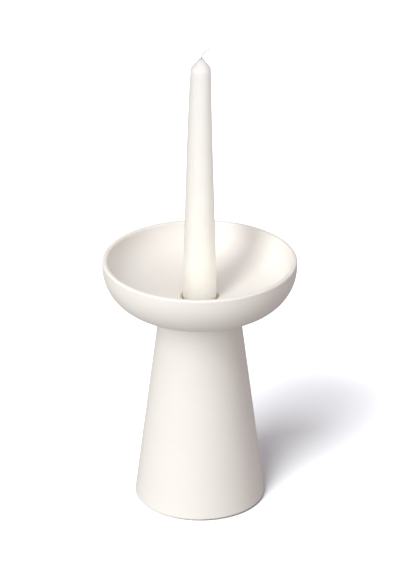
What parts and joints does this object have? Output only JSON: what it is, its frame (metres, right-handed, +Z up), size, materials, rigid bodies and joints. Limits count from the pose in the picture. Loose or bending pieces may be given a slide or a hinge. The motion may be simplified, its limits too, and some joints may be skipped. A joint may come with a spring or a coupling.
{
  "type": "candlestick with drip bowl",
  "caption": "Candlestick: a cone-shaped turned column carries a shallow drip bowl, with a taper candle standing in a metal cup at its centre.",
  "frame": {"origin": "centre of the felt's underside, on the surface that the candlestick stands on", "axes": "+Z up along the common axis of column, bowl and candle; the wick leans towards +X, and the front is -Y"},
  "size_m": [0.125, 0.125, 0.3134],
  "materials": {
    "felt": "matte",
    "column_paint": "matte",
    "bowl_paint": "matte",
    "cup_brass": "satin",
    "insert_brass": "satin",
    "screw_steel": "satin",
    "wax": "satin",
    "cotton": "matte"
  },
  "bodies": {
    "holder": {"base_felt": "felt", "column": "column_paint", "bowl": "bowl_paint", "candle_cup": "cup_brass", "threaded_insert": "insert_brass", "cup_screw": "screw_steel"},
    "candle": {"candle": "wax", "wick": "cotton"}
  },
  "joints": [
    {"name": "candle_lift", "type": "slide", "parent": "holder", "child": "candle", "axis": [0, 0, 1], "range_m": [0, 0.06]}
  ]
}
